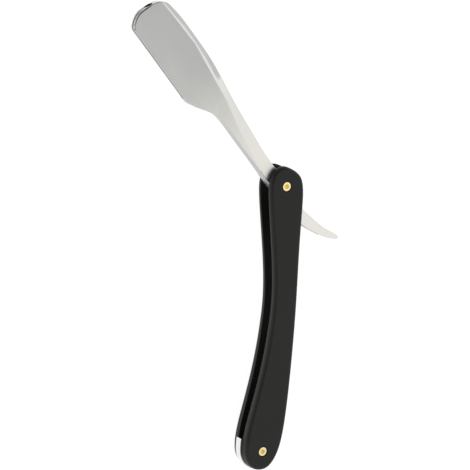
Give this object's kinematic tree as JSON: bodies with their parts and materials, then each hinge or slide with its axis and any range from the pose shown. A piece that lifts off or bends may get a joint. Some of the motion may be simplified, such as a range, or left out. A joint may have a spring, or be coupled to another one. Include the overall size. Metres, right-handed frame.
{
  "type": "replaceable blade straight razor",
  "caption": "Folding straight razor with a slotted steel holder for replaceable half blades, a curled tail and black scales pinned in brass.",
  "frame": {"origin": "where the pivot's axis meets the plane of the far scale's outer face, on which the razor lies", "axes": "+Z out of the near scale along the pivot, -Y down the handle to the end pin, -X the slot side on which the blade folds in"},
  "size_m": [0.1208, 0.2219, 0.012],
  "materials": {
    "scale_plastic": "moulded black plastic, satin, lighter on the rounded rims",
    "ground_steel": "satin ground sides on the head, polished shank and tail",
    "spring_steel": "rolled spring sheet, bright",
    "polished_steel": "polished bright",
    "brass": "polished brass, turned and peened"
  },
  "bodies": {
    "handle": {"near_scale": "scale_plastic", "far_scale": "scale_plastic", "end_spacer": "polished_steel", "pivot_pin": "brass", "pivot_collar_near": "brass", "pivot_collar_far": "brass", "end_pin": "brass", "end_collar_near": "brass", "end_collar_far": "brass", "pivot_washer_near": "brass", "pivot_washer_far": "brass"},
    "blade_unit": {"blade_holder": "ground_steel", "blade_clip": "spring_steel"},
    "blade": {"half_blade": "spring_steel"}
  },
  "joints": [
    {"name": "pivot", "type": "hinge", "parent": "handle", "child": "blade_unit", "pos_m": [0, 0, 0.006], "axis": [0, 0, 1], "range_deg": [-140, 130]},
    {"name": "blade_slide", "type": "slide", "parent": "blade_unit", "child": "blade", "axis": [-0.7242, -0.6896, 0], "range_m": [0, 0.012]}
  ]
}
